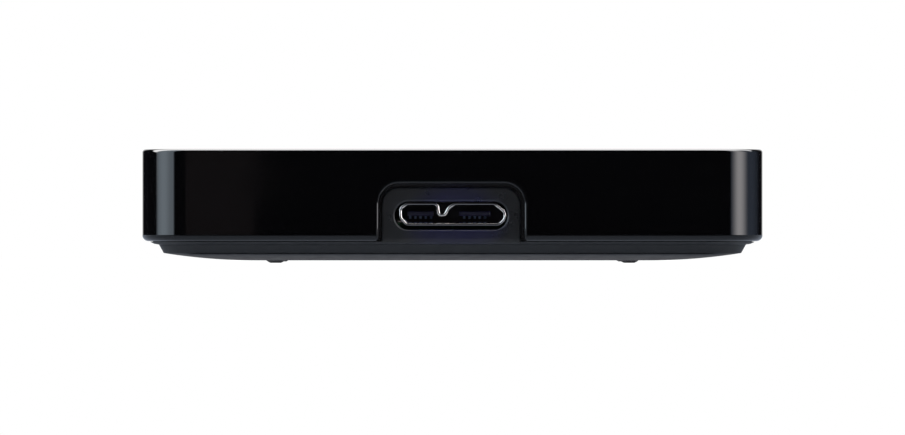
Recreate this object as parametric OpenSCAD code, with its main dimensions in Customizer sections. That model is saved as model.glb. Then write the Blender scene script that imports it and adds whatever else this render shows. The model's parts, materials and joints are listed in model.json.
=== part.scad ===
// Portable external hard drive: a glossy cover snapped over a matte tray, with a 2.5-inch
// disk drive held in rubber inside. It rests on four small feet, its port end towards -Y.

/* [Case] */
// Width of the case, side to side
case_w = 78; // [77:0.5:96]
// Length of the case, port end to far end
case_l = 109; // [107:0.5:132]
// Height of the whole drive, feet included
case_h = 14.3; // [13.4:0.1:18]
// Radius of the four upright corners
corner_r = 6.5; // [6:0.1:8]
// Thickness of the cover's side walls
cover_wall = 1.6; // [1.3:0.05:1.95]
// Thickness of the cover's top
cover_top_t = 1.5; // [1:0.05:1.9]
// Rounding of the cover's top edge
top_edge_r = 0.4; // [0.2:0.05:0.8]
// Rounding of the cover's lower rim
rim_edge_r = 0.8; // [0.4:0.05:1.1]
// Height of the cover's lower rim above the table
rim_z = 2.75; // [2.6:0.05:3.1]

/* [Tray] */
// Thickness of the tray's floor
floor_t = 1.5; // [1.2:0.05:1.8]
// Thickness of the upright wall that locates the cover
tray_wall = 1; // [0.8:0.05:1.2]
// Thickness of that wall at the port end
tray_front_wall = 0.6; // [0.5:0.05:0.7]
// Top of the upright wall above the table
tray_wall_top = 6; // [5.7:0.1:7]
// Clearance between the cover and the upright wall
tray_fit = 0.1; // [0.05:0.01:0.15]
// Distance of the flange's edge in from the cover's face
flange_inset = 1.05; // [0.9:0.05:1.2]
// Depth of the shadow line between the rim and the flange
reveal = 0.05; // [0.05:0.01:0.15]
// Distance of the underside's crease in from the cover's face
crease_inset = 2.7; // [2.4:0.05:3]
// Distance in from the cover's face at which the underside turns flat
belly_flat_inset = 14.5; // [12:0.5:18]
// The same distance at the two ends of the case
belly_end_inset = 13.1; // [11:0.1:16]
// Radius of the underside's shallow curve
belly_r = 74; // [70:1:110]

/* [Feet] */
// Height of a foot below the flat underside
foot_h = 0.31; // [0.3:0.005:0.6]
// Radius of a foot where it leaves the underside
foot_r = 1.2; // [1.1:0.05:2]
// Half the distance between the left and right feet
foot_x = 22.3; // [18:0.1:23]
// Distance of the feet in from the ends of the case
foot_inset = 16; // [15:0.5:24]

/* [Port] */
// Distance of the opening's middle to the right of the case's middle
port_x = -0.12; // [-0.2:0.02:0.2]
// Width of the opening in the cover's end wall
port_w = 18.2; // [17.4:0.1:22]
// Height of that opening above the middle of the connector
port_rise = 3.85; // [3.2:0.05:4.6]
// Radius of the opening's upper corners
port_r = 2.5; // [1.9:0.05:2.8]
// Chamfer round the opening
port_chamfer = 0.45; // [0.2:0.05:0.5]
// Gap between the opening and the port panel of the tray
port_gap = 0.4; // [0.2:0.05:0.45]
// Width of the slot that the connector shows through
slot_w = 14.1; // [14:0.1:15]
// Height of that slot
slot_h = 3.5; // [3.2:0.05:3.8]
// Distance of the slot's middle below the connector's middle
slot_drop = 0.15; // [0:0.05:0.2]

/* [Connector] */
// Width of the connector's shell behind its mouth
socket_w = 12.9; // [12.7:0.05:13]
// Height of the connector's shell behind its mouth
socket_h = 2.4; // [2.35:0.05:2.5]
// Thickness of the shell's sheet metal
socket_sheet = 0.25; // [0.2:0.05:0.3]
// Length of the shell
socket_l = 6.7; // [6.2:0.1:7]
// How far the shell's mouth flares out all round
socket_flare = 0.25; // [0.1:0.01:0.25]
// Depth of the mouth behind the face of the port panel
socket_recess = 0.15; // [0.1:0.05:0.4]
// Distance between the middles of neighbouring contacts
contact_pitch = 0.65; // [0.6:0.01:0.7]

/* [Disk drive] */
// Width of the disk drive
drive_w = 69.85; // [69.6:0.05:70.1]
// Length of the disk drive
drive_l = 100.2; // [99.9:0.1:100.5]
// Height of the disk drive
drive_h = 7; // [7:0.1:8.4]
// Radius of the disk drive's upright corners
drive_corner_r = 2; // [1.5:0.1:2.5]
// Gap between the tray's end wall and the disk drive
front_gap = 0.3; // [0.2:0.05:0.7]
// Space for rubber below the disk drive
under_gap = 2.1; // [1.8:0.05:2.2]
// Length of each rubber corner mount along the drive
mount_l = 14; // [10:0.5:18]
// How far each rubber mount laps over the drive's edge
mount_lap = 8; // [6:0.5:9]

/* [Disk and spindle] */
// Radius of the disk
platter_r = 32.5; // [27:0.1:32.6]
// Thickness of the disk
platter_t = 0.8; // [0.6:0.05:0.9]
// Radius of the disk's centre hole
platter_bore_r = 10; // [9.8:0.1:10.5]
// Radius of the spindle's shaft
shaft_r = 1.5; // [1.2:0.05:1.8]
// Running clearance round the shaft
shaft_fit = 0.02; // [0.01:0.01:0.05]
// Number of teeth on the stator
stator_teeth = 9; // [9, 12]

/* [Actuator] */
// Distance from the pivot to the tips of the two arms
arm_l = 19; // [17:0.5:21]
// Distance from the pivot to the middle of the heads
head_reach = 32.6; // [32:0.1:32.8]
// Inner radius of the coil from the pivot
coil_r0 = 9; // [8.6:0.1:10]
// Outer radius of the coil from the pivot
coil_r1 = 18; // [16:0.1:18]
// Half the angle that the coil spans
coil_half = 17; // [14:0.5:17]
// Thickness of the coil
coil_t = 1; // [0.8:0.05:1.1]
// Radius of the post that the arms turn on
post_r = 2; // [1.6:0.05:2.2]
// Running clearance between the post and its bearing
post_fit = 0.05; // [0.02:0.01:0.08]

/* [Hidden] */
$fn = 64;
// How far a cut runs past the face that it opens
cut = 1;

// Heights above the table, from the feet up
belly_z = foot_h;
floor_z = belly_z + floor_t;
drive_z = floor_z + under_gap;
drive_top = drive_z + drive_h;
ceiling_z = case_h - cover_top_t;
crease_z = belly_z + belly_r - sqrt(pow(belly_r, 2) - pow(belly_flat_inset - crease_inset, 2));

// Insets from the cover's outer face
skirt_inset = cover_wall + tray_fit;
pocket_inset = skirt_inset + tray_wall;
ledge_inset = pocket_inset + 1.2;
ledge_z = rim_z + 0.35;
lip_inset = flange_inset + 0.45;
step_inset = flange_inset + 1.05;
step_z = rim_z - 0.43;
reveal_w = 0.3;

// The tray's hollow and the port panel, whose back plate laps behind the opening's edge
port_lap = 0.7;
pocket_front = -case_l / 2 + skirt_inset + tray_front_wall;
pocket_back = case_l / 2 - pocket_inset;
panel_front = -case_l / 2 + flange_inset;

// Snap tabs between tray and cover
tab_l = 5;
tab_out = 0.45;
tab_z = tray_wall_top - 1.6;
tab_h = 1.1;
tab_fit = 0.1;
tab_side_pitch = 30;
tab_back_x = 18;
tab_front_x = 24;

// Feet
foot_tip_r = 0.675;
foot_neck_r = 0.9;
foot_head_r = 1.8;
foot_head_h = 0.6;

// The disk drive's place and its own heights
drive_front = pocket_front + front_gap;
drive_back = drive_front + drive_l;
drive_mid = (drive_front + drive_back) / 2;
cover_plate_t = 0.5;
cover_emboss = 0.15;
cover_plate_inset = 0.25;
casting_top = drive_top - cover_plate_t - cover_emboss;
gasket_t = 0.25;
gasket_in = 0.5;
gasket_out = 1.1;
board_z = drive_z + 0.35;
board_t = 0.8;
board_top = board_z + board_t;
chip_t = 0.6;
pocket_z = board_top + chip_t + 0.1;
chamber_floor_t = 0.5;
chamber_z = pocket_z + chamber_floor_t;
mid_z = chamber_z + 1.8;

// The sealed chamber in the casting
spindle = [0, drive_back - 35.1];
pivot = [spindle[0] - 22, spindle[1] - 33.2];
chamber_r = platter_r + 0.8;
chamber_side = 33.2;
chamber_right = 17;
chamber_front = drive_front + 8.4;
chamber_corner_r = 2;
side_boss = [-31.6, pivot[1] + 7];
side_boss_r = 4.2;

// Screws of the drive's cover
cover_screw_places = [
  [-31.6, drive_back - 3.3], [31.6, drive_back - 3.3], side_boss, [31.6, pivot[1]],
  [-29, drive_front + 4.3], [29, drive_front + 4.3]
];
screw_head_r = 1.6;
screw_head_h = 0.5;
screw_shank_r = 0.7;
screw_shank_l = 2.4;
screw_hex_r = 0.75;
screw_fit = 0.1;
dimple_r = 1.9;
dimple_depth = 0.45;
dimple_wall = 0.45;
dimple_floor = 0.35;

// The drive's own mounting holes
bottom_hole_places = [
  for (side = [-1, 1], along = [14, 90.6]) [side * 30.86, drive_front + along]
];
bottom_hole_r = 1.25;
bottom_hole_depth = 2;
bottom_boss_r = 2.6;

// Circuit board
rail_t = 1.3;
board_side_fit = 0.4;
board_back = spindle[1] - 16.2;
board_front_inset = 0.2;
board_screw_places = [
  for (side = [-1, 1], y = [drive_front + 3.4, board_back - 3]) [side * 29, y]
];
board_screw_head_r = 1.5;
board_screw_head_h = 0.35;
board_screw_r = 0.7;
board_screw_l = 1.7;
board_screw_hex_r = 0.6;
spacer_r = 1.9;
sheet_t = 0.15;

// Foam pad over the disk drive
foam_w = 50;
foam_l = 60;
foam_r = 3;
foam_forward = 12;

// Connector
socket_z = drive_z + 2.2;
socket_front = panel_front + socket_recess;
socket_back = socket_front + socket_l;
socket_mouth_l = 0.4;
socket_notch_gap = 0.15;
socket_foot_in = 0.65;
socket_foot_out = 1.6;
socket_casting_gap = 0.3;
socket_block_l = 1.6;
socket_tongue_z = 0.1;
socket_tongue_t = 0.6;
socket_wide_x = 2.8;
socket_narrow_x = -4;
socket_wide_w = 3.9;
socket_narrow_w = 3.3;
contact_count = 5;
contact_w = 0.3;
contact_t = 0.12;
contact_tail = 0.9;

// Spindle and motor
well_r = 12.4;
well_z = drive_z + 0.8;
groove_r0 = well_r + 2.6;
groove_r1 = chamber_r - 2.8;
groove_depth = 1.5;
groove_span = 50;
sleeve_r = 3.5;
sleeve_floor = 0.3;
shaft_end_gap = 0.06;
hub_flange_r = 13;
hub_flange_t = 0.6;
hub_fit = 0.05;
skirt_r = 12.1;
magnet_r = 11.3;
magnet_inner_r = 9.7;
stator_r = 9.3;
stator_ring_r = 5;
stator_tip_t = 0.9;
stator_tip_slope = tan(130 / stator_teeth);
tooth_w = 1.2;
coil_w = 2.6;
stator_z0 = well_z + 0.6;
stator_z1 = stator_z0 + 1;
winding = 0.4;
platter_z0 = mid_z - platter_t / 2;
platter_z1 = mid_z + platter_t / 2;
hub_top = platter_z1 - 0.1;
clamp_r = 11;
clamp_t = 0.6;
clamp_hole_r = 0.8;
clamp_hole_reach = 6;
clamp_screw_head_r = 1.9;
clamp_screw_hex_r = 0.85;

// Actuator, at rest with its heads parked off the disk
park_angle = 0;
coil_angle = 252;
coil_window_r = 2;
coil_window_half = 8;
comb_r = 5.5;
bearing_r = 4;
comb_half = 1.45;
arm_t = 0.4;
arm_root_w = 8;
arm_tip_w = 3.2;
arm_hole_r = 1.4;
prong_angle = 3.5;
prong_half = 0.4;
suspension_t = 0.12;
suspension_r0 = arm_l - 4;
tab_r0 = head_reach + 1.3;
tab_r1 = head_reach + 3;
head_l = 1.2;
head_w = 1;
head_fly = 0.05;
arm_z = comb_half - arm_t;

// Magnet motor round the coil
gap_half = 0.65;
magnet_t = 0.5;
yoke_r0 = coil_r0 - 0.2;
yoke_r1 = coil_r1 + 3.6;
yoke_a0 = 240;
yoke_a1 = 320;
magnet_a0 = 244;
magnet_a1 = 302;
top_yoke_t = 0.65;
pillar_r = 0.8;
pillar_places = [
  [coil_r1 + 2.3, 250], [coil_r1 + 2.3, 290], [14, 314]
];

// Parking ramp, stop, filter and flexible lead
ramp_half = 0.82;
ramp_r0 = head_reach + 1.2;
ramp_r1 = ramp_r0 + 3.8;
ramp_foot_r = ramp_r1 - 1.4;
ramp_a0 = -6;
ramp_a1 = 3;
stop_r = 0.9;
stop_reach = 12;
stop_angle = 226.5;
bracket_place = [pivot[0] + 22, pivot[1] - 16];
bracket_size = [8, 6, 3];
flex_h = 1.2;
flex_t = 0.12;
flex_bend = 14;
flex_angle = -27;
flex_a = pivot + comb_r * [cos(flex_angle), sin(flex_angle)];
flex_b = bracket_place + [0, bracket_size[1] / 2];
flex_chord = norm(flex_b - flex_a);
flex_dir = (flex_b - flex_a) / flex_chord;
flex_side = [flex_dir[1], -flex_dir[0]];
flex_rise = sqrt(pow(flex_bend, 2) - pow(flex_chord / 2, 2));
flex_centre = (flex_a + flex_b) / 2 + flex_rise * flex_side;
flex_a0 = atan2(flex_b[1] - flex_centre[1], flex_b[0] - flex_centre[0]);
flex_a1 = atan2(flex_a[1] - flex_centre[1], flex_a[0] - flex_centre[0]);
filter_size = [5.5, 3.5, 3.4];
filter_place = [chamber_right - 1 - filter_size[0], chamber_front + 1];

// Corners of the connector shell's outline about its middle, counter-clockwise: across, up and
// the radius that rounds each. A notch in the top parts the narrow side from the wide one.
notch_left = -1.9;
notch_right = -0.85;
notch_bottom = -0.12;
socket_corners = [
  [-socket_w / 2 + 0.7, -socket_h / 2, 0.45], [socket_w / 2 - 0.6, -socket_h / 2, 0.55],
  [socket_w / 2 + 0.08, -0.5, 0.6], [socket_w / 2 + 0.05, 0.3, 0.6],
  [socket_w / 2 - 1.2, socket_h / 2, 0.5],
  [0.35, socket_h / 2, 0.4], [notch_right + 0.4, socket_h / 2 - 0.45, 0.4],
  [notch_right, notch_bottom, 0.5], [notch_left, notch_bottom, 0.5],
  [notch_left, socket_h / 2, 0.5], [-socket_w / 2 + 0.8, socket_h / 2, 0.4],
  [-socket_w / 2, socket_h / 2 - 0.45, 0.45], [-socket_w / 2, -0.35, 0.5]
];
arc_steps = 3;

function flat_of(p) = [p[0], p[1]];
function outward(a, b) = [b[1] - a[1], a[0] - b[0]] / norm(b - a);
function bisector(n0, n1) = (n0 + n1) / (1 + n0 * n1);
function turns_left(n0, n1) = n0[0] * n1[1] - n0[1] * n1[0] > 0;

// The arc at a corner whose sides face n0 and n1, after the outline has grown
function corner_arc(p, r, n0, n1, grow) =
  let (
    side = turns_left(n0, n1) ? 1 : -1,
    reach = r + side * grow,
    centre = p + (grow - side * reach) * bisector(n0, n1)
  )
  [
    for (i = [0:arc_steps])
      let (n = n0 * (1 - i / arc_steps) + n1 * i / arc_steps)
        centre + side * reach * n / norm(n)
  ];

function socket_outline(grow) = [
  for (i = [0:len(socket_corners) - 1])
    let (
      last = len(socket_corners),
      p = flat_of(socket_corners[i]),
      n0 = outward(flat_of(socket_corners[(i + last - 1) % last]), p),
      n1 = outward(p, flat_of(socket_corners[(i + 1) % last]))
    )
    each corner_arc(p, socket_corners[i][2], n0, n1, grow)
];

module rounded_plan(w, l, r) {
  square([w - 2 * r, l], center = true);
  square([w, l - 2 * r], center = true);
  for (sx = [-1, 1], sy = [-1, 1])
    translate([sx * (w / 2 - r), sy * (l / 2 - r)])
      circle(r);
}

module slab(z0, z1) {
  translate([0, 0, z0])
    linear_extrude(z1 - z0)
      children();
}

// A block with upright rounded corners whose edge follows the child's outline: the child's X
// runs out from the corner's axis and its Y runs up.
module profiled_block(w, l, r, z0, z1) {
  dx = w / 2 - r;
  dy = l / 2 - r;
  for (corner = [[1, 1, 0], [-1, 1, 90], [-1, -1, 180], [1, -1, 270]])
    translate([corner[0] * dx, corner[1] * dy, 0])
      rotate([0, 0, corner[2]])
        rotate_extrude(angle = 90)
          children();
  for (side = [[dx, 2 * dy, 0], [dy, 2 * dx, 90], [dx, 2 * dy, 180], [dy, 2 * dx, 270]])
    rotate([0, 0, side[2]])
      translate([side[0], 0, 0])
        rotate([90, 0, 0])
          linear_extrude(side[1], center = true)
            children();
  translate([-dx, -dy, z0])
    cube([2 * dx, 2 * dy, z1 - z0]);
}

// What rounding takes from a corner at the origin, with the solid towards -X and -Y
module round_off(r) {
  difference() {
    translate([-r, -r])
      square(r + cut);
    translate([-r, -r])
      circle(r);
  }
}

module cover_edge() {
  difference() {
    translate([0, rim_z])
      square([corner_r, case_h - rim_z]);
    translate([corner_r, case_h])
      round_off(top_edge_r);
    translate([corner_r, rim_z])
      mirror([0, 1])
        round_off(rim_edge_r);
  }
}

module inset_plan(inset) {
  rounded_plan(case_w - 2 * inset, case_l - 2 * inset, corner_r - inset);
}

module port_edge() {
  reach = flange_inset + cover_wall;
  polygon([
    [0, -reach], [port_r, -reach], [port_r, -port_chamfer],
    [port_r + port_chamfer + cut, cut], [0, cut]
  ]);
}

// The arched opening in the end wall, open at the bottom
module port_opening() {
  h = socket_z + port_rise + cut;
  translate([port_x, -case_l / 2, h / 2 - cut])
    rotate([90, 0, 0])
      profiled_block(port_w, h, port_r, -flange_inset - cover_wall, cut)
        port_edge();
}

module snap_places() {
  for (side = [0, 180], y = [-1, 0, 1])
    rotate([0, 0, side])
      translate([case_w / 2 - skirt_inset, y * tab_side_pitch, 0])
        children();
  for (x = [-1, 1])
    rotate([0, 0, 90])
      translate([case_l / 2 - skirt_inset, x * tab_back_x, 0])
        children();
  for (x = [-1, 1])
    rotate([0, 0, -90])
      translate([case_l / 2 - skirt_inset, x * tab_front_x, 0])
        children();
}

module snap_tab(grow) {
  top = tab_z + tab_h;
  rotate([90, 0, 0])
    linear_extrude(tab_l + 2 * grow, center = true)
      polygon([
        [-tray_front_wall / 2, tab_z - grow], [tab_out, tab_z + 0.2 - grow],
        [tab_out, top - 0.6 + grow], [0, top + grow], [-tray_front_wall / 2, top + grow]
      ]);
}

module top_cover() {
  color("#0c0c0e")
    difference() {
      profiled_block(case_w, case_l, corner_r, rim_z, case_h)
        cover_edge();
      slab(rim_z - cut, ceiling_z)
        inset_plan(cover_wall);
      port_opening();
      snap_places()
        snap_tab(tab_fit);
    }
}

// Section of the space above the underside's curve, over a span whose ends curve up
module belly_section(span, curve) {
  flat = span / 2 - curve;
  translate([-flat, belly_z])
    square([2 * flat, case_h]);
  for (side = [0, 1])
    mirror([side, 0])
      intersection() {
        translate([flat, belly_z + belly_r])
          circle(belly_r, $fn = 256);
        translate([flat, belly_z])
          square([curve, case_h]);
      }
}

module tray_edge() {
  polygon([
    [0, belly_z], [corner_r - crease_inset, belly_z], [corner_r - crease_inset, crease_z],
    [corner_r - step_inset, step_z], [corner_r - lip_inset, step_z + 0.1],
    [corner_r - flange_inset, rim_z - 0.11], [corner_r - flange_inset, rim_z - reveal],
    [corner_r - flange_inset - reveal_w, rim_z - reveal],
    [corner_r - flange_inset - reveal_w, rim_z], [0, rim_z]
  ]);
}

// The tray's hollow: narrow below the ledge, and wider between the upright walls
module tray_space(top) {
  narrow_front = -case_l / 2 + ledge_inset;
  narrow_back = case_l / 2 - ledge_inset;
  translate([0, (narrow_front + narrow_back) / 2, 0])
    slab(floor_z, ledge_z + 0.1)
      rounded_plan(case_w - 2 * ledge_inset, narrow_back - narrow_front, corner_r - ledge_inset);
  translate([0, (pocket_front + pocket_back) / 2, 0])
    slab(ledge_z, top)
      rounded_plan(case_w - 2 * pocket_inset, pocket_back - pocket_front, corner_r - pocket_inset);
}

// The opening's arch, grown all round, down to the tray's flange
module port_arch(grow) {
  w = port_w + 2 * grow;
  r = port_r + grow;
  top = socket_z + port_rise + grow;
  foot = step_z + 0.15;
  translate([-w / 2, foot])
    square([w, top - r - foot]);
  translate([-w / 2 + r, foot])
    square([w - 2 * r, top - foot]);
  for (side = [-1, 1])
    translate([side * (w / 2 - r), top - r])
      circle(r);
}

module port_panel() {
  translate([port_x, pocket_front, 0])
    rotate([90, 0, 0]) {
      linear_extrude(pocket_front - panel_front)
        port_arch(-port_gap);
      linear_extrude(tray_front_wall)
        port_arch(port_lap);
    }
}

module connector_slot() {
  translate([port_x, pocket_front + cut, socket_z - slot_drop])
    rotate([90, 0, 0])
      linear_extrude(pocket_front - panel_front + 2 * cut)
        rounded_plan(slot_w, slot_h, slot_h / 2 - 0.05);
}

module foot_places() {
  for (sx = [-1, 1], sy = [-1, 1])
    translate([sx * foot_x, sy * (case_l / 2 - foot_inset), 0])
      children();
}

module bottom_case() {
  color("#26292d")
    difference() {
      union() {
        intersection() {
          profiled_block(case_w, case_l, corner_r, belly_z, rim_z)
            tray_edge();
          rotate([90, 0, 0])
            linear_extrude(case_l, center = true)
              belly_section(case_w, belly_flat_inset);
          rotate([90, 0, 90])
            linear_extrude(case_w, center = true)
              belly_section(case_l, belly_end_inset);
        }
        slab(rim_z - 0.3, tray_wall_top)
          inset_plan(skirt_inset);
        port_panel();
        snap_places()
          snap_tab(0);
      }
      tray_space(case_h);
      connector_slot();
      foot_places()
        slab(belly_z - cut, floor_z + cut)
          circle(foot_neck_r);
    }
}

module foot(sx, sy) {
  color("#4c4e52")
    translate([sx * foot_x, sy * (case_l / 2 - foot_inset), 0])
      rotate_extrude()
        polygon([
          [0, 0], [foot_tip_r, 0], [foot_r - 0.2, belly_z * 0.55], [foot_r, belly_z],
          [foot_neck_r, belly_z], [foot_neck_r, floor_z], [foot_head_r, floor_z],
          [foot_head_r, floor_z + foot_head_h / 2], [foot_head_r - 0.5, floor_z + foot_head_h],
          [0, floor_z + foot_head_h]
        ]);
}

module drive_plan(inset) {
  translate([0, drive_mid])
    rounded_plan(drive_w - 2 * inset, drive_l - 2 * inset, drive_corner_r - inset);
}

module insulating_sheet() {
  color("#1b1b1d")
    slab(drive_z - sheet_t, drive_z)
      difference() {
        translate([-drive_w / 2 + 0.5, drive_front + 0.5])
          square([drive_w - 1, board_back - drive_front - 0.5]);
        for (p = bottom_hole_places)
          translate(p)
            circle(bottom_hole_r + 0.5);
      }
}

// A rubber block wrapped round one corner of the disk drive
module shock_mount(sx, sy) {
  x0 = drive_w / 2 - mount_lap;
  y0 = sy < 0 ? pocket_front - cut : drive_back - mount_l;
  y1 = sy < 0 ? drive_front + mount_l : pocket_back + cut;
  color("#2a2b2e")
    difference() {
      intersection() {
        tray_space(ceiling_z);
        translate([sx < 0 ? -case_w / 2 : x0, y0, 0])
          cube([case_w / 2 - x0, y1 - y0, case_h]);
      }
      slab(drive_z, drive_top)
        drive_plan(0);
      insulating_sheet();
    }
}

module top_foam_pad() {
  color("#35363a")
    slab(drive_top, ceiling_z)
      translate([0, spindle[1] - foam_forward])
        rounded_plan(foam_w, foam_l, foam_r);
}

// Plan of the sealed chamber, grown all round by the given amount
module chamber_plan(grow) {
  w = chamber_side + chamber_right + 2 * grow;
  l = spindle[1] - chamber_front + 2 * grow;
  difference() {
    union() {
      translate(spindle)
        circle(chamber_r + grow, $fn = 128);
      translate([(chamber_right - chamber_side) / 2, (spindle[1] + chamber_front) / 2])
        rounded_plan(w, l, chamber_corner_r + grow);
    }
    translate(side_boss)
      circle(side_boss_r - grow);
  }
}

// Plan of the recess that holds the circuit board
module board_recess_plan(gap) {
  w = drive_w - 2 * rail_t - 2 * gap;
  difference() {
    translate([-w / 2, drive_front - cut])
      square([w, board_back - drive_front + cut + board_side_fit - gap]);
    for (p = bottom_hole_places)
      translate(p)
        circle(bottom_boss_r + gap);
  }
}

// Room for the connector in the end of the casting
module connector_recess() {
  half = socket_w / 2 + socket_foot_out + socket_casting_gap;
  top = socket_z + socket_h / 2 + socket_casting_gap;
  translate([-half, drive_front - cut, drive_z - cut])
    cube([2 * half, socket_back - drive_front + cut + 0.7, top - drive_z + cut]);
}

module drive_base() {
  color("#2b2c2f")
    difference() {
      slab(drive_z, casting_top)
        drive_plan(0);
      slab(chamber_z, casting_top + cut)
        chamber_plan(0);
      slab(casting_top - gasket_t, casting_top + cut)
        difference() {
          chamber_plan(gasket_out);
          chamber_plan(gasket_in);
        }
      translate(spindle)
        slab(well_z, casting_top)
          circle(well_r);
      slab(drive_z - cut, board_top)
        board_recess_plan(0);
      slab(board_top, pocket_z)
        difference() {
          board_recess_plan(0);
          for (p = board_screw_places)
            translate(p)
              circle(spacer_r);
        }
      connector_recess();
      for (i = [0:5])
        translate(spindle)
          rotate([0, 0, 60 * i + 5])
            rotate_extrude(angle = groove_span)
              translate([groove_r0, drive_z - cut])
                square([groove_r1 - groove_r0, groove_depth + cut]);
      for (p = cover_screw_places)
        translate(p) {
          slab(casting_top - screw_shank_l - 0.6, casting_top + cut)
            circle(screw_shank_r + screw_fit / 2);
          slab(casting_top + cover_plate_t - dimple_depth - dimple_floor, casting_top + cut)
            circle(dimple_r + dimple_wall + 0.1);
        }
      for (p = board_screw_places)
        translate(p)
          slab(board_top - cut, board_z + board_screw_l + 0.1)
            circle(board_screw_r + screw_fit / 2);
      for (p = bottom_hole_places)
        translate(p)
          slab(drive_z - cut, drive_z + bottom_hole_depth)
            circle(bottom_hole_r);
    }
}

module drive_cover() {
  plate_top = casting_top + cover_plate_t;
  dimple_top = plate_top - dimple_depth;
  color("#b9bbbe")
    difference() {
      union() {
        slab(casting_top, plate_top)
          drive_plan(cover_plate_inset);
        slab(plate_top - 0.1, drive_top)
          chamber_plan(-1.2);
        for (p = cover_screw_places)
          translate(p)
            slab(dimple_top - dimple_floor, plate_top)
              circle(dimple_r + dimple_wall);
      }
      slab(casting_top - cut, casting_top + cover_emboss)
        chamber_plan(-1.7);
      for (p = cover_screw_places)
        translate(p) {
          slab(dimple_top, drive_top + cut)
            circle(dimple_r);
          slab(casting_top - 2 * cut, drive_top)
            circle(screw_shank_r + screw_fit);
        }
    }
}

module cover_gasket() {
  color("#141414")
    slab(casting_top - gasket_t, casting_top)
      difference() {
        chamber_plan(gasket_out);
        chamber_plan(gasket_in);
      }
}

module cover_screws() {
  seat = casting_top + cover_plate_t - dimple_depth;
  color("#8f9194")
    for (p = cover_screw_places)
      translate(p)
        difference() {
          union() {
            slab(seat, seat + screw_head_h)
              circle(screw_head_r);
            slab(seat - screw_shank_l, seat + 0.1)
              circle(screw_shank_r);
          }
          slab(seat + 0.15, seat + screw_head_h + cut)
            circle(screw_hex_r, $fn = 6);
        }
}

module circuit_board() {
  color("#1f5a37")
    slab(board_z, board_top)
      difference() {
        intersection() {
          board_recess_plan(board_side_fit);
          translate([-case_w / 2, drive_front + board_front_inset])
            square([case_w, drive_l]);
        }
        translate([-socket_w / 2 - socket_notch_gap, drive_front - cut])
          square([socket_w + 2 * socket_notch_gap, socket_back - drive_front + cut + socket_notch_gap]);
        for (p = board_screw_places)
          translate(p)
            circle(board_screw_r + screw_fit);
      }
}

module board_screws() {
  color("#9a9c9f")
    for (p = board_screw_places)
      translate(p)
        difference() {
          union() {
            slab(board_z - board_screw_head_h, board_z)
              circle(board_screw_head_r);
            slab(board_z - 0.1, board_z + board_screw_l)
              circle(board_screw_r);
          }
          slab(board_z - board_screw_head_h - cut, board_z - 0.1)
            circle(board_screw_hex_r, $fn = 6);
        }
}

// A flat component on the board, placed from the drive's front end
module board_part(x, along, w, l, h) {
  translate([x - w / 2, drive_front + along - l / 2, board_top])
    cube([w, l, h]);
}

module controller_chip() {
  color("#202124")
    board_part(-14, 19, 12, 12, chip_t);
}

module memory_chip() {
  color("#202124")
    board_part(6, 18, 10, 8, chip_t);
}

module motor_driver_chip() {
  color("#202124")
    board_part(14, 34, 8, 8, chip_t);
}

module firmware_chip() {
  color("#202124")
    board_part(20, 14, 5, 4, chip_t);
}

module clock_crystal() {
  color("#c4c6c8")
    board_part(-24, 9, 3.2, 2.5, chip_t - 0.05);
}

module board_capacitors() {
  color("#8a6a4a")
    for (i = [0:6]) {
      board_part(-24 + 3 * i, 29.5, 1, 1.8, chip_t - 0.1);
      board_part(-14 + 3 * i, 42, 1, 1.8, chip_t - 0.1);
    }
}

module motor_contact_block() {
  color("#d8d4c4")
    board_part(-4, 46, 8, 1.6, chip_t);
}

module activity_led() {
  color("#9fc4ff")
    board_part(10.5, 1.3, 1.6, 0.8, chip_t - 0.1);
}

module socket_section(z0, z1) {
  translate([0, z1, socket_z])
    rotate([90, 0, 0])
      linear_extrude(z1 - z0)
        children();
}

module connector_shell() {
  color("#c9cacc")
    difference() {
      union() {
        socket_section(socket_front, socket_back)
          polygon(socket_outline(0));
        socket_section(socket_front, socket_front + socket_mouth_l)
          polygon(socket_outline(socket_flare));
        for (side = [0, 1], y = [2.6, 4.8])
          mirror([side, 0, 0])
            translate([socket_w / 2 - socket_foot_in, socket_front + y, board_top])
              cube([socket_foot_in + socket_foot_out, 1.2, socket_sheet]);
      }
      socket_section(socket_front - cut, socket_back + cut)
        polygon(socket_outline(-socket_sheet));
      socket_section(socket_front - cut, socket_front + socket_mouth_l - socket_sheet)
        polygon(socket_outline(socket_flare - socket_sheet));
    }
}

// One bent contact for each place across the connector's two tongues
module contact_shapes(y0) {
  top = socket_z + socket_tongue_z - socket_tongue_t / 2;
  for (middle = [socket_narrow_x, socket_wide_x], i = [0:contact_count - 1])
    translate([middle + (i - (contact_count - 1) / 2) * contact_pitch - contact_w / 2, 0, 0]) {
      translate([0, y0, top - contact_t])
        cube([contact_w, socket_back + contact_tail - y0, contact_t]);
      translate([0, socket_back + contact_tail - 0.2, board_top])
        cube([contact_w, 0.2, top - board_top]);
    }
}

module connector_contacts() {
  color("#8f9bb0")
    contact_shapes(socket_front + 1);
}

module connector_insulator() {
  tongue_l = socket_l - socket_block_l - 0.6;
  tongue_z = socket_z + socket_tongue_z - socket_tongue_t / 2;
  color("#16161c")
    difference() {
      union() {
        socket_section(socket_back - socket_block_l, socket_back)
          polygon(socket_outline(-socket_sheet));
        for (tongue = [[socket_narrow_x, socket_narrow_w], [socket_wide_x, socket_wide_w]])
          translate([tongue[0] - tongue[1] / 2, socket_front + 0.7, tongue_z])
            cube([tongue[1], tongue_l, socket_tongue_t]);
      }
      contact_shapes(socket_front - cut);
    }
}

module bearing_sleeve() {
  color("#b7a36a")
    translate(spindle)
      difference() {
        slab(well_z, platter_z0 - hub_flange_t - 0.12)
          circle(sleeve_r);
        slab(well_z + sleeve_floor, mid_z)
          circle(shaft_r + shaft_fit);
      }
}

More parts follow.
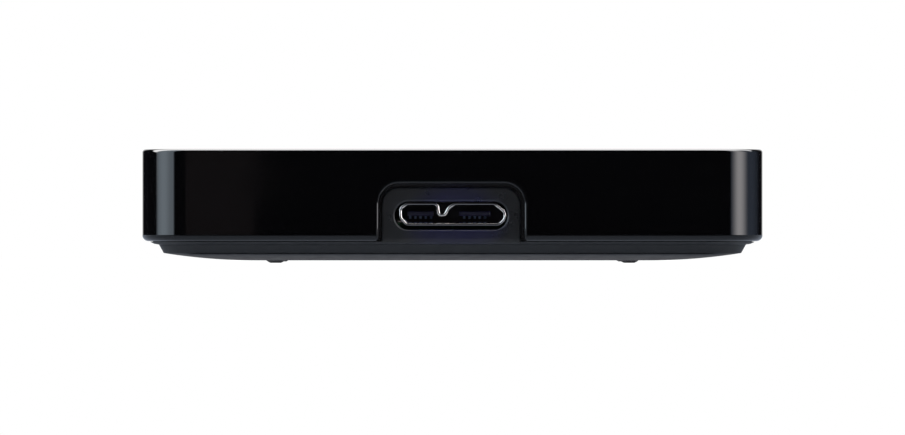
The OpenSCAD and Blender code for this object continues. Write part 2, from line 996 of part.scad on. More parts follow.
// Plan of the stator: a ring with teeth that end in broad tips
module stator_plan() {
  difference() {
    circle(stator_ring_r);
    circle(sleeve_r);
  }
  for (i = [0:stator_teeth - 1])
    rotate((i + 0.5) * 360 / stator_teeth) {
      translate([stator_ring_r - 0.2, -tooth_w / 2])
        square([stator_r - stator_tip_t - stator_ring_r + 0.4, tooth_w]);
      intersection() {
        difference() {
          circle(stator_r);
          circle(stator_r - stator_tip_t);
        }
        polygon([
          [0, 0], [stator_r + 1, -stator_tip_slope * (stator_r + 1)],
          [stator_r + 1, stator_tip_slope * (stator_r + 1)]
        ]);
      }
    }
}

module stator_core() {
  color("#77797c")
    translate(spindle)
      slab(stator_z0, stator_z1)
        stator_plan();
}

module stator_coils() {
  r0 = stator_ring_r + 0.4;
  r1 = stator_r - stator_tip_t - 0.2;
  w = coil_w * 9 / stator_teeth;
  color("#b4643c")
    translate([spindle[0], spindle[1], 0])
      for (i = [0:stator_teeth - 1])
        rotate([0, 0, (i + 0.5) * 360 / stator_teeth])
          difference() {
            translate([r0, -w / 2, stator_z0 - winding])
              cube([r1 - r0, w, stator_z1 - stator_z0 + 2 * winding]);
            translate([r0 - cut, -tooth_w / 2, stator_z0])
              cube([r1 - r0 + 2 * cut, tooth_w, stator_z1 - stator_z0]);
          }
}

module rotor_hub() {
  under = platter_z0 - hub_flange_t;
  rim = well_z + 0.35;
  color("#c3c5c8")
    translate([spindle[0], spindle[1], 0])
      rotate_extrude($fn = 96)
        polygon([
          [shaft_r, under], [magnet_r, under], [magnet_r, rim], [skirt_r, rim], [skirt_r, under],
          [hub_flange_r, under], [hub_flange_r, platter_z0],
          [platter_bore_r - hub_fit, platter_z0], [platter_bore_r - hub_fit, hub_top],
          [shaft_r, hub_top]
        ]);
}

module spindle_shaft() {
  color("#d0d2d4")
    translate(spindle)
      slab(well_z + sleeve_floor + shaft_end_gap, hub_top)
        circle(shaft_r);
}

module magnet_ring() {
  color("#5c5e62")
    translate(spindle)
      slab(well_z + 0.45, platter_z0 - hub_flange_t)
        difference() {
          circle(magnet_r, $fn = 96);
          circle(magnet_inner_r);
        }
}

module platter() {
  color("#d9dbde")
    translate(spindle)
      slab(platter_z0, platter_z1)
        difference() {
          circle(platter_r, $fn = 128);
          circle(platter_bore_r);
        }
}

module disk_clamp() {
  color("#aeb0b3")
    translate(spindle)
      difference() {
        union() {
          slab(platter_z1, platter_z1 + clamp_t)
            circle(clamp_r);
          slab(hub_top, platter_z1 + 0.1)
            circle(platter_bore_r - 2);
        }
        slab(hub_top - cut, platter_z1 + clamp_t + cut)
          circle(screw_shank_r + screw_fit);
        for (i = [0:5])
          rotate([0, 0, 60 * i])
            translate([clamp_hole_reach, 0])
              slab(hub_top - cut, platter_z1 + clamp_t + cut)
                circle(clamp_hole_r);
      }
}

module clamp_screw() {
  seat = platter_z1 + clamp_t;
  color("#97999c")
    translate(spindle)
      difference() {
        union() {
          slab(seat, seat + screw_head_h)
            circle(clamp_screw_head_r);
          slab(hub_top, seat + 0.1)
            circle(screw_shank_r);
        }
        slab(seat + 0.15, seat + screw_head_h + cut)
          circle(clamp_screw_hex_r, $fn = 6);
      }
}

// A sector plate about the pivot
module sector(r0, r1, a0, a1, z0, z1) {
  translate([pivot[0], pivot[1], 0])
    rotate([0, 0, a0])
      rotate_extrude(angle = a1 - a0)
        translate([r0, z0])
          square([r1 - r0, z1 - z0]);
}

module at_pivot(reach, angle) {
  translate([pivot[0] + reach * cos(angle), pivot[1] + reach * sin(angle), 0])
    children();
}

module actuator_arm() {
  color("#b3b5b8")
    difference() {
      union() {
        at_pivot(0, 0)
          slab(mid_z - comb_half, mid_z + comb_half)
            circle(comb_r);
        for (z = [mid_z - comb_half, mid_z + arm_z])
          at_pivot(0, 0)
            rotate([0, 0, park_angle])
              slab(z, z + arm_t)
                difference() {
                  polygon([
                    [0, -arm_root_w / 2], [arm_l, -arm_tip_w / 2],
                    [arm_l, arm_tip_w / 2], [0, arm_root_w / 2]
                  ]);
                  translate([arm_l / 2 + 1, 0])
                    circle(arm_hole_r);
                }
        for (side = [-1, 1])
          sector(
            comb_r - 0.5, coil_r1 - 0.6,
            coil_angle + (side < 0 ? -coil_half - prong_angle : coil_half),
            coil_angle + (side < 0 ? -coil_half : coil_half + prong_angle),
            mid_z - prong_half, mid_z + prong_half
          );
      }
      at_pivot(0, 0)
        slab(chamber_z, casting_top)
          circle(bearing_r);
    }
}

module pivot_post() {
  color("#c6c8ca")
    at_pivot(0, 0) {
      slab(chamber_z, mid_z + comb_half + 0.2)
        circle(post_r);
      slab(chamber_z, mid_z - comb_half - 0.05)
        circle(post_r + 1);
    }
}

module pivot_bearing() {
  color("#9da0a4")
    at_pivot(0, 0)
      slab(mid_z - comb_half, mid_z + comb_half)
        difference() {
          circle(bearing_r);
          circle(post_r + post_fit);
        }
}

module voice_coil() {
  half = coil_t / 2;
  a0 = coil_angle - coil_half;
  a1 = coil_angle + coil_half;
  color("#b86a3e")
    difference() {
      sector(coil_r0, coil_r1, a0, a1, mid_z - half, mid_z + half);
      sector(
        coil_r0 + coil_window_r, coil_r1 - coil_window_r,
        coil_angle - coil_window_half, coil_angle + coil_window_half,
        mid_z - coil_t, mid_z + coil_t
      );
    }
}

// The spring plate that carries a head, with the tab that parks on the ramp
module suspension(z) {
  at_pivot(0, 0)
    rotate([0, 0, park_angle])
      slab(z, z + suspension_t)
        polygon([
          [suspension_r0, -1.4], [tab_r0, -0.45], [tab_r0, -0.25], [tab_r1, -0.25],
          [tab_r1, 0.25], [tab_r0, 0.25], [tab_r0, 0.45], [suspension_r0, 1.4]
        ]);
}

module lower_suspension() {
  color("#d3d4d6")
    suspension(mid_z - arm_z);
}

module upper_suspension() {
  color("#d3d4d6")
    suspension(mid_z + arm_z - suspension_t);
}

module head(z0, z1) {
  at_pivot(0, 0)
    rotate([0, 0, park_angle])
      translate([head_reach - head_l / 2, -head_w / 2, z0])
        cube([head_l, head_w, z1 - z0]);
}

module lower_head() {
  color("#3b3c40")
    head(mid_z - arm_z + suspension_t, platter_z0 - head_fly);
}

module upper_head() {
  color("#3b3c40")
    head(platter_z1 + head_fly, mid_z + arm_z - suspension_t);
}

module yoke(z0, z1) {
  sector(yoke_r0, yoke_r1, yoke_a0, yoke_a1, z0, z1);
}

module bottom_yoke() {
  color("#86888b")
    yoke(chamber_z, mid_z - gap_half - magnet_t);
}

module magnet(z0) {
  color("#a9abae")
    sector(coil_r0 + 0.5, coil_r1 - 0.2, magnet_a0, magnet_a1, z0, z0 + magnet_t);
}

module bottom_magnet() {
  magnet(mid_z - gap_half - magnet_t);
}

module top_magnet() {
  magnet(mid_z + gap_half);
}

module top_yoke() {
  color("#86888b")
    yoke(mid_z + gap_half + magnet_t, mid_z + gap_half + magnet_t + top_yoke_t);
}

module yoke_pillars() {
  color("#9c9ea1")
    for (p = pillar_places)
      at_pivot(p[0], p[1])
        slab(mid_z - gap_half - magnet_t, mid_z + gap_half + magnet_t)
          circle(pillar_r);
}

module parking_ramp() {
  color("#e4dfd0") {
    sector(ramp_r0, ramp_r1, ramp_a0, ramp_a1, mid_z - ramp_half, mid_z + ramp_half);
    sector(ramp_foot_r, ramp_r1, ramp_a0, ramp_a1, chamber_z, mid_z);
  }
}

module flex_bracket() {
  color("#4a4c50")
    translate([bracket_place[0], bracket_place[1], chamber_z])
      cube(bracket_size);
}

module flex_cable() {
  color("#b58a3c")
    difference() {
      translate([flex_centre[0], flex_centre[1], 0])
        rotate([0, 0, flex_a0 - 3])
          rotate_extrude(angle = flex_a1 - flex_a0 + 6)
            translate([flex_bend - flex_t / 2, mid_z - flex_h / 2])
              square([flex_t, flex_h]);
      at_pivot(0, 0)
        slab(chamber_z, casting_top)
          circle(comb_r + post_fit);
      translate([bracket_place[0], bracket_place[1], chamber_z])
        cube(bracket_size);
    }
}

module crash_stop() {
  color("#1d1e20")
    at_pivot(stop_reach, stop_angle)
      slab(chamber_z, mid_z + 0.9)
        circle(stop_r);
}

module air_filter() {
  color("#ecebe6")
    translate([filter_place[0], filter_place[1], chamber_z])
      cube(filter_size);
}

top_cover();
bottom_case();
foot(-1, -1);  // foot_front_left
foot(1, -1);  // foot_front_right
foot(-1, 1);  // foot_rear_left
foot(1, 1);  // foot_rear_right
shock_mount(-1, -1);  // shock_mount_front_left
shock_mount(1, -1);  // shock_mount_front_right
shock_mount(-1, 1);  // shock_mount_rear_left
shock_mount(1, 1);  // shock_mount_rear_right
top_foam_pad();
insulating_sheet();
drive_base();
drive_cover();
cover_gasket();
cover_screws();
circuit_board();
board_screws();
controller_chip();
memory_chip();
motor_driver_chip();
firmware_chip();
clock_crystal();
board_capacitors();
motor_contact_block();
activity_led();
connector_shell();
connector_insulator();
connector_contacts();
bearing_sleeve();
stator_core();
stator_coils();
rotor_hub();
spindle_shaft();
magnet_ring();
platter();
disk_clamp();
clamp_screw();
actuator_arm();
pivot_post();
pivot_bearing();
voice_coil();
lower_suspension();
upper_suspension();
lower_head();
upper_head();
bottom_yoke();
bottom_magnet();
top_magnet();
top_yoke();
yoke_pillars();
parking_ramp();
flex_bracket();
flex_cable();
crash_stop();
air_filter();
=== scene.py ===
# %% [markdown]
# # A pocket hard drive
#
# The real thing is a slim box: a glossy moulded cover snapped over a matte tray, with a wide flat
# data socket in one end. The construction is already packed as a frame of exact solids. This script
# gives it its looks: finer meshes for the pieces that show, a finish for every piece, a studio and
# a camera. The frame is loaded first, because every size below comes from it.

# %% Load the frame
import json
import math

import bmesh
import bpy
from mathutils import Matrix, Vector


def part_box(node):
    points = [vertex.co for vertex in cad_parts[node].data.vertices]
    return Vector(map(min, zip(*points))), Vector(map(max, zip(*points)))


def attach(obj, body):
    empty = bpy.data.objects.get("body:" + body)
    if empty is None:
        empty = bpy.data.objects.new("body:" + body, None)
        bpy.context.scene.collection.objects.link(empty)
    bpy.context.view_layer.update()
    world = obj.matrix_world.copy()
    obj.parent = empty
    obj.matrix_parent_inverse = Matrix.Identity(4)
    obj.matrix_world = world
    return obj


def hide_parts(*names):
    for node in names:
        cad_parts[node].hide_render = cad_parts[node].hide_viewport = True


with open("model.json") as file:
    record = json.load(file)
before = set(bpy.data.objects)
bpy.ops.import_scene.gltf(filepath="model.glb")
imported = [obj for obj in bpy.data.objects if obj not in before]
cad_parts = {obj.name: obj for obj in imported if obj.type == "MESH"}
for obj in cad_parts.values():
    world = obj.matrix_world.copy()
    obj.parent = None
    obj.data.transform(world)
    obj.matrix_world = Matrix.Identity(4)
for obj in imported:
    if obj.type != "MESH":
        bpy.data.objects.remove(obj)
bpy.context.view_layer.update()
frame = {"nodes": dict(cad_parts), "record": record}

# %% [markdown]
# Blender works in metres and the case is measured in millimetres, so the modelling below is done in
# millimetres and each finished piece is scaled once, at the end. These are the boxes of the two
# shells and of the socket, read from the frame.

# %% Measure the frame in millimetres
MM = 0.001


def box_mm(node):
    low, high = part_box(node)
    return Vector(low) / MM, Vector(high) / MM


cover_low, cover_high = box_mm("top_cover")
tray_low, tray_high = box_mm("bottom_case")
shell_low, shell_high = box_mm("connector_shell")
case_w, case_l, case_h = cover_high.x * 2, cover_high.y * 2, cover_high.z
front, rim_z, belly_z = cover_low.y, cover_low.z, tray_low.z
print(f"case {case_w:.1f} x {case_l:.1f} x {case_h:.1f}, rim at {rim_z:.2f}, belly at {belly_z:.3f}")

# %% [markdown]
# ## The camera
#
# The photograph looks straight at the port end from far away, dead level. A very long lens at a
# distance gives that flat view, in which light even shows through the gap under the belly. The lens
# is the one that makes the case as many pixels wide as in the photograph.

# %% Set the camera
distance, sensor, lens = 2400, 36, 761.4
camera_data = bpy.data.cameras.new("camera")
camera_data.lens, camera_data.sensor_width = lens, sensor
camera_data.clip_start, camera_data.clip_end = 0.01, 20
camera = bpy.data.objects.new("camera", camera_data)
camera.location = (0.006 * MM, (front - distance) * MM, 5.724 * MM)
camera.rotation_euler = (math.radians(90), 0, 0)
bpy.context.scene.collection.objects.link(camera)
bpy.context.scene.camera = camera
print("the view is", round(distance * sensor / lens, 1), "mm wide at the port end")

# %% [markdown]
# ## Helpers for meshes
#
# A moulded case is a few rounded blocks joined and cut. Each begins as one flat face whose corners
# are bevelled. The bevel operator's own defaults differ from the editor's, so every setting is
# given. Curved edges are drawn as short paths whose corners are softened to arcs.

# %% Draw outlines and paths
def outline(bm, corners, segments=8, z=0.0):
    """Adds a face that looks up, from corners of (x, y, radius), and returns it."""
    verts = [bm.verts.new((x, y, z)) for x, y, _ in corners]
    bm.faces.new(verts)
    kept = [vert for vert, (_, _, radius) in zip(verts, corners) if not radius]
    for vert, (_, _, radius) in zip(verts, corners):
        if radius:
            a, b = [edge.other_vert(vert).co - vert.co for edge in vert.link_edges]
            kept += bmesh.ops.bevel(bm, geom=[vert], offset=radius / math.tan(a.angle(b) / 2),
                                    offset_type="OFFSET", affect="VERTICES", segments=segments,
                                    profile=0.5, material=-1)["verts"]
    face = kept[-1].link_faces[0]
    face.normal_update()
    if face.normal.z < 0:
        bmesh.ops.reverse_faces(bm, faces=[face])
    return face


def rectangle(width, length, radius):
    """Corners of a rounded rectangle about the origin."""
    x, y = width / 2, length / 2
    return [(-x, -y, radius), (x, -y, radius), (x, y, radius), (-x, y, radius)]


def soften(points, steps=4):
    """A path with its corners rounded, from points of (across, up, radius)."""
    path = []
    for i, (across, up, radius) in enumerate(points):
        here = Vector((across, up, 0))
        if radius:
            a, b = [(Vector((*points[j][:2], 0)) - here).normalized() for j in (i - 1, i + 1)]
            half = a.angle(b) / 2
            centre = here + (a + b).normalized() * radius / math.sin(half)
            ends = [here + side * radius / math.tan(half) - centre for side in (a, b)]
            first, last = [end.normalized() for end in ends]
            path += [centre + radius * first.slerp(last, k / steps) for k in range(steps + 1)]
        else:
            path.append(here)
    return [(point.x, point.y) for point in path]


# %% [markdown]
# Two ways lead from an outline to a solid. A stack of rounded rectangles can be bridged into a
# skin, as for the case. Or one face is walked forward: it is inset or spread a little and moved a
# little, again and again, and each move leaves a ring of wall behind it, as for the socket's lip.

# %% Skin a stack of outlines, or walk one forward
def close(bm, place=Matrix.Identity(4)):
    """Fills open ends, sets the solid in its place and turns its faces outwards."""
    bmesh.ops.holes_fill(bm, edges=[edge for edge in bm.edges if edge.is_boundary], sides=0)
    bm.transform(place)
    bmesh.ops.recalc_face_normals(bm, faces=bm.faces[:])
    return bm


def skin(rings, y=0.0, segments=24):
    """A solid skinned over rounded rectangles, each given as (width, length, radius, height)."""
    bm = bmesh.new()
    faces = [outline(bm, rectangle(width, length, radius), segments, z)
             for width, length, radius, z in rings]
    loops = [face.edges[:] for face in faces]
    bmesh.ops.delete(bm, geom=faces[1:-1], context="FACES_ONLY")
    for low, high in zip(loops, loops[1:]):
        bmesh.ops.bridge_loops(bm, edges=low + high)
    return close(bm, Matrix.Translation((0, y, 0)))


def walk(bm, face, rings):
    """Carries a face through rings of (growth, distance), counted from where it starts."""
    grown, gone = 0.0, 0.0
    for growth, distance in rings:
        bmesh.ops.inset_individual(bm, faces=[face], thickness=grown - growth,
                                   depth=distance - gone, use_even_offset=True)
        grown, gone = growth, distance


PORTWARD = Matrix.Rotation(math.radians(90), 4, "X")


def bar(corners, y, rings, segments=8, x=0.0):
    """A solid that starts at y and runs out towards the port end through rings."""
    bm = bmesh.new()
    walk(bm, outline(bm, corners, segments), rings)
    return close(bm, Matrix.Translation((x, y, 0)) @ PORTWARD)


# %% [markdown]
# Solids are joined and cut with Blender's exact boolean, on throwaway objects. A piece is finished
# by merging what doubled, scaling to metres, smoothing and weighting its normals so that the flat
# faces stay flat in a reflection, hanging it on the root body and hiding the node it stands for.

# %% Combine solids and finish pieces
def gather(solids):
    """Puts several solids that don't touch into one."""
    whole = bmesh.new()
    for bm in solids:
        mesh = bpy.data.meshes.new("work")
        bm.to_mesh(mesh)
        bm.free()
        whole.from_mesh(mesh)
        bpy.data.meshes.remove(mesh)
    return whole


def combine(base, tool, operation):
    """Joins, cuts or crosses two closed solids, and returns the result."""
    works = []
    for bm in (base, tool):
        mesh = bpy.data.meshes.new("work")
        bm.to_mesh(mesh)
        bm.free()
        works.append(bpy.data.objects.new("work", mesh))
        bpy.context.scene.collection.objects.link(works[-1])
    modifier = works[0].modifiers.new("combine", "BOOLEAN")
    modifier.operation, modifier.solver, modifier.object = operation, "EXACT", works[1]
    result = bmesh.new()
    result.from_object(works[0], bpy.context.evaluated_depsgraph_get())
    for work in works:
        mesh = work.data
        bpy.data.objects.remove(work)
        bpy.data.meshes.remove(mesh)
    return result


def piece(name, bm, node, sharp=35):
    """Makes a solid into a finished piece that stands for a node of the frame."""
    bmesh.ops.remove_doubles(bm, verts=bm.verts[:], dist=0.0005)
    bmesh.ops.recalc_face_normals(bm, faces=bm.faces[:])
    bmesh.ops.scale(bm, vec=(MM, MM, MM), verts=bm.verts[:])
    open_edges = sum(not edge.is_manifold for edge in bm.edges)
    mesh = bpy.data.meshes.new(name)
    bm.to_mesh(mesh)
    bm.free()
    mesh.shade_smooth()
    mesh.set_sharp_from_angle(angle=math.radians(sharp))
    made = bpy.data.objects.new(name, mesh)
    bpy.context.scene.collection.objects.link(made)
    weighted = made.modifiers.new("flat faces stay flat", "WEIGHTED_NORMAL")
    weighted.keep_sharp = True
    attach(made, "root")
    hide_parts(node)
    print(name, len(mesh.polygons), "faces,", open_edges, "open edges")
    return made


# %% [markdown]
# ## The glossy cover
#
# The cover is a moulded lid with upright rounded corners, a small round along its top edge and a
# softer roll along its lower rim. It is skinned from a stack of outlines that follow those two
# curves, then hollowed by a smaller block.

# %% Skin the cover and hollow it
corner_r, cover_wall, ceiling_z = 6.5, 1.6, case_h - 1.5
top_edge, rim_edge = 0.4, 0.8


def ring(inset, z, radius=None, end_inset=None):
    """One outline of the case, at a distance in from the cover's sides and its ends."""
    along = inset if end_inset is None else end_inset
    return (case_w - 2 * inset, case_l - 2 * along,
            corner_r - inset if radius is None else radius, z)


cover_path = soften([(3, rim_z, 0), (0, rim_z, rim_edge), (0, case_h, top_edge), (3, case_h, 0)], 12)
cover_path = cover_path[1:-1]
cover = skin([ring(inset, z) for inset, z in cover_path])
cover = combine(cover, skin([ring(cover_wall, rim_z - 1), ring(cover_wall, ceiling_z)]), "DIFFERENCE")
print("cover skinned from", len(cover_path), "outlines")

# %% [markdown]
# The end wall has an arched opening. Its edge is rounded over, and that thin band of light round
# the arch is the brightest line on the real cover's face. The opening's cutter is an arch that is
# walked out through the wall and flares at the face. Its feet turn outwards into the rim.

# %% Cut the arched opening
socket_z = 6.11
port_x, arch_half, arch_top, arch_r, arch_round = -0.12, 9.1, socket_z + 3.85, 2.5, 0.42
arch_foot, arch_foot_r = rim_z - 0.02, 0.7
inside_y = front + 2.7
arch = [(-arch_half - 1.5, 1, 0), (arch_half + 1.5, 1, 0), (arch_half + 1.5, arch_foot, 0),
        (arch_half, arch_foot, arch_foot_r), (arch_half, arch_top, arch_r),
        (-arch_half, arch_top, arch_r), (-arch_half, arch_foot, arch_foot_r),
        (-arch_half - 1.5, arch_foot, 0)]
depth = inside_y - front
flare = soften([(0, 0, 0), (0, depth, arch_round), (2, depth, 0)], 10)[1:-1]
cutter = bar(arch, inside_y, flare + [(arch_round, depth + 1)], 12, port_x)
cover = combine(cover, cutter, "DIFFERENCE")
print("opening", arch_half * 2, "wide, top at", round(arch_top, 2))

# %% [markdown]
# Ten snap tabs on the tray click into ten slots inside the cover. The same little wedge makes both:
# with clearance it cuts the slots here, and without it stands on the tray later.

# %% Snap slots
tab_z, tab_top, tab_out, tab_l = 4.4, 5.5, 0.45, 5
skirt = 1.7


def snap_tabs(grow):
    """The ten wedges round the tray's upright wall, each larger by grow all round."""
    places = [(side, case_w / 2, y) for side in (0, 180) for y in (-30, 0, 30)]
    places += [(90, case_l / 2, x) for x in (-18, 18)] + [(270, case_l / 2, x) for x in (-24, 24)]
    section = [(-0.3, tab_z - grow, 0), (tab_out, tab_z + 0.2 - grow, 0),
               (tab_out, tab_top - 0.6 + grow, 0), (0, tab_top + grow, 0), (-0.3, tab_top + grow, 0)]
    length = tab_l + 2 * grow
    tabs = []
    for turn, reach, along in places:
        tab = bar(section, length / 2, [(0, length)])
        tab.transform(Matrix.Rotation(math.radians(turn), 4, "Z")
                      @ Matrix.Translation((reach - skirt, along, 0)))
        tabs.append(tab)
    return gather(tabs)


cover = combine(cover, snap_tabs(0.1), "DIFFERENCE")
cover = piece("glossy_cover", cover, "top_cover")

# %% [markdown]
# ## The matte tray
#
# Seen from the port end the tray is a thin dark rim under the cover, then a flange, a wall that
# slants inwards, a crease and a belly that curves down to the flat underside. One path holds that
# whole profile, from the flat underside up to the top of the wall inside the cover. Over the belly
# the outlines' corners tighten, so the two shallow curves meet without a fold. The ends curve up a
# little nearer to their edge than the sides do, which puts the port end's crease lower.

# %% Skin the tray
belly_r, flat_inset, end_shift, crease = 74, 14.5, 1.4, 2.7
floor_z, wall_top = belly_z + 1.5, 6.0


def belly_height(inset):
    return belly_z + belly_r - math.sqrt(belly_r ** 2 - (flat_inset - inset) ** 2)


belly_steps = 14
belly = []
for i in range(belly_steps):
    inset = flat_inset + (crease - flat_inset) * i / belly_steps
    belly.append(ring(inset, belly_height(inset), 2.2 + (flat_inset - inset) * 0.13,
                      max(inset - end_shift, crease)))
side_path = soften([
    (crease + 0.4, belly_height(crease + 0.4), 0), (crease, belly_height(crease), 0.12),
    (2.1, rim_z - 0.43, 0.1), (1.5, rim_z - 0.33, 0.08), (1.05, rim_z - 0.11, 0.03),
    (1.05, rim_z - 0.06, 0.01), (1.35, rim_z - 0.05, 0), (1.35, rim_z, 0), (skirt, rim_z + 0.01, 0),
    (skirt, wall_top, 0.1), (2.0, wall_top, 0)])
side_path = side_path[1:-1]
tray = skin(belly + [ring(inset, z) for inset, z in side_path])
print("tray skinned from", len(belly) + len(side_path), "outlines")

# %% [markdown]
# The tray is hollow, narrow below a ledge and wider between its upright walls. The port panel is
# the tray's own: a small arch that stands up behind the cover's opening, its edge rounded, with a
# slot for the socket. A plate behind it laps past the opening, so the gap round the panel is dark.
# The slot is wider than the socket, so a dark gap shows there too.

# %% Hollow the tray and add its port panel
pocket_front, pocket_back, panel_front = front + 2.3, case_l / 2 - crease, front + 1.05
ledge_inset, ledge_z = 3.9, rim_z + 0.35
narrow = skin([ring(ledge_inset, floor_z), ring(ledge_inset, ledge_z + 0.1)])
tray = combine(tray, narrow, "DIFFERENCE")
wide = skin([(case_w - 2 * crease, pocket_back - pocket_front, corner_r - crease, z)
             for z in (ledge_z, 7)], y=(pocket_front + pocket_back) / 2)
tray = combine(tray, wide, "DIFFERENCE")

panel_half, panel_top, panel_r, panel_edge = 8.75, socket_z + 3.42, 2.1, 0.3
depth = pocket_front - panel_front


def arch_corners(half, top, radius):
    """The port's arch, from the tray's flange up."""
    return [(-half, rim_z - 0.35, 0), (half, rim_z - 0.35, 0), (half, top, radius), (-half, top, radius)]


panel = bar(arch_corners(panel_half, panel_top, panel_r), pocket_front,
            soften([(0, 0, 0), (0, depth, panel_edge), (-2, depth, 0)], 8)[1:-1], 12, port_x - 0.05)
tray = combine(tray, panel, "UNION")
lap = 0.7
back_plate = bar(arch_corners(arch_half + lap, arch_top + lap, arch_r + lap), pocket_front,
                 [(0, 0.6)], 12, port_x)
tray = combine(tray, back_plate, "UNION")

slot_w, slot_h, slot_edge, slot_z = 14.1, 3.5, 0.3, socket_z - 0.15
depth = 1 + pocket_front - panel_front
slot = [(x, slot_z + z, r) for x, z, r in rectangle(slot_w, slot_h, slot_h / 2 - 0.05)]
mouth = soften([(0, 0, 0), (0, depth, slot_edge), (2, depth, 0)], 6)[1:-1]
slot_cutter = bar(slot, pocket_front + 1, mouth + [(slot_edge, depth + 1)], 12, port_x - 0.05)
tray = combine(tray, slot_cutter, "DIFFERENCE")

# %% [markdown]
# Snap tabs go on the upright wall, and four round holes through the floor hold the feet.

# %% Tabs and foot holes
foot_x, foot_y, neck_r = 22.3, case_l / 2 - 16, 0.9
tray = combine(tray, snap_tabs(0), "UNION")
holes = []
for x in (-foot_x, foot_x):
    for y in (-foot_y, foot_y):
        hole = bmesh.new()
        bmesh.ops.create_cone(hole, cap_ends=True, segments=32, radius1=neck_r, radius2=neck_r, depth=4,
                              matrix=Matrix.Translation((x, y, floor_z)))
        holes.append(hole)
tray = combine(tray, gather(holes), "DIFFERENCE")
tray = piece("matte_tray", tray, "bottom_case")

# %% [markdown]
# ## The rubber feet
#
# Each foot is a soft plug pressed through the floor from below, of which only a low dome shows. A
# turned shape comes from spinning one path about its axis.

# %% Spin the feet
def spin(path, x=0.0, y=0.0, steps=48):
    """A solid turned about an upright axis at x, y from a path of (radius, height)."""
    bm = bmesh.new()
    verts = [bm.verts.new((radius, 0, z)) for radius, z in path]
    edges = [bm.edges.new(pair) for pair in zip(verts, verts[1:])]
    bmesh.ops.spin(bm, geom=verts + edges, cent=(0, 0, 0), axis=(0, 0, 1), angle=math.tau,
                   steps=steps, use_merge=True)
    bmesh.ops.remove_doubles(bm, verts=bm.verts[:], dist=0.0001)
    return close(bm, Matrix.Translation((x, y, 0)))


foot_path = soften([(0, 0, 0), (0.675, 0, 0.12), (1.0, 0.55 * belly_z, 0.1), (1.2, belly_z, 0),
                    (neck_r, belly_z, 0), (neck_r, floor_z, 0), (1.8, floor_z, 0.1),
                    (1.8, floor_z + 0.3, 0.1), (1.3, floor_z + 0.6, 0.1), (0, floor_z + 0.6, 0)])
feet = []
for end, y in (("front", -foot_y), ("rear", foot_y)):
    for side, x in (("left", -foot_x), ("right", foot_x)):
        feet.append(piece(f"foot_{end}_{side}_rubber", spin(foot_path, x, y),
                          f"foot_{end}_{side}"))

# %% [markdown]
# ## The data socket
#
# The socket is a strip of plated sheet folded round into a tube, with a notch pressed into its top
# that keeps the narrow side from the wide one. Its mouth flares and rolls over, and that rolled lip
# is the bright line in the photograph. The outline is walked forward over the outside, round the
# lip and back down the inside, and the two open ends at the back are bridged.

# %% Fold the shell
socket_w, socket_h, sheet = 12.9, 2.4, 0.25
socket_back, socket_l = shell_high.y, shell_high.y - shell_low.y
w, h = socket_w / 2, socket_h / 2
raised = 0.09
top = h + raised
socket_corners = [(x, socket_z + z, radius) for x, z, radius in [
    (-w + 0.7, -h, 0.45), (w - 0.6, -h, 0.55), (w + 0.08, -0.5, 0.6), (w + 0.05, 0.3, 0.6),
    (w - 1.2, top, 0.5), (0.35, top, 0.4), (-0.45, top - 0.5, 0.4), (-0.9, -0.12, 0.45),
    (-1.77, -0.12, 0.45), (-1.92, top, 0.5), (-w + 0.8, top, 0.4), (-w, h - 0.45, 0.45),
    (-w, -0.35, 0.5)]]

lip_r, lip_growth = 0.185, 0.065
roll = [(lip_growth + lip_r * math.cos(a), socket_l - lip_r + lip_r * math.sin(a))
        for a in [math.radians(15 * k) for k in range(1, 13)]]
shell_path = [(0, socket_l - 0.5), (0.10, socket_l - 0.36), (0.20, socket_l - 0.26)] + roll
shell_path += [(-0.16, socket_l - 0.3), (-0.22, socket_l - 0.42), (-sheet, socket_l - 0.6), (-sheet, 0)]
shell = bmesh.new()
end = outline(shell, socket_corners, 6)
walk(shell, end, shell_path)
inner = end.edges[:]
outer = [edge for edge in shell.edges if edge.is_boundary]
bmesh.ops.delete(shell, geom=[end], context="FACES_ONLY")
bmesh.ops.bridge_loops(shell, edges=inner + outer)
close(shell, Matrix.Translation((0, socket_back, 0)) @ PORTWARD)

board_top = box_mm("circuit_board")[1].z
tabs = []
for side in (-1, 1):
    for y in (2.6, 4.8):
        tab = bmesh.new()
        bmesh.ops.create_cube(tab, size=1)
        bmesh.ops.scale(tab, vec=(2.25, 1.2, sheet), verts=tab.verts[:])
        bmesh.ops.bevel(tab, geom=tab.edges[:], offset=0.04, offset_type="OFFSET", affect="EDGES",
                        segments=2, profile=0.5, material=-1)
        tab.transform(Matrix.Translation((side * (w + 0.475), shell_low.y + y + 0.6,
                                          board_top + sheet / 2)))
        tabs.append(tab)
shell = combine(shell, gather(tabs), "UNION")
shell = piece("socket_shell", shell, "connector_shell")

# %% [markdown]
# Inside the shell a moulded block closes the back and carries two tongues, one for each side of the
# plug. The block has the shell's own outline, drawn in by the sheet's thickness. Five contacts lie
# under each tongue, with a springy knee near the nose, and their tails bend down to the board behind.

# %% Mould the insulator
tongues = [(-4, 3.3), (2.8, 3.9)]
tongue_z, tongue_t = socket_z + 0.1, 0.6
block_l, tongue_l = 1.6, 4.5

back_block = bmesh.new()
end = outline(back_block, socket_corners, 6)
bmesh.ops.inset_individual(back_block, faces=[end], thickness=sheet, depth=0, use_even_offset=True)
rim = [face for face in back_block.faces if face is not end]
bmesh.ops.delete(back_block, geom=rim, context="FACES")
walk(back_block, end, [(0, block_l)])
close(back_block, Matrix.Translation((0, socket_back, 0)) @ PORTWARD)

insulator = back_block
for x, width in tongues:
    tongue = bar([(corner_x + x, tongue_z + z, radius)
                  for corner_x, z, radius in rectangle(width, tongue_t, 0.08)],
                 shell_low.y + 0.7 + tongue_l, [(0, tongue_l - 0.15), (-0.12, tongue_l)], 3)
    insulator = combine(insulator, tongue, "UNION")

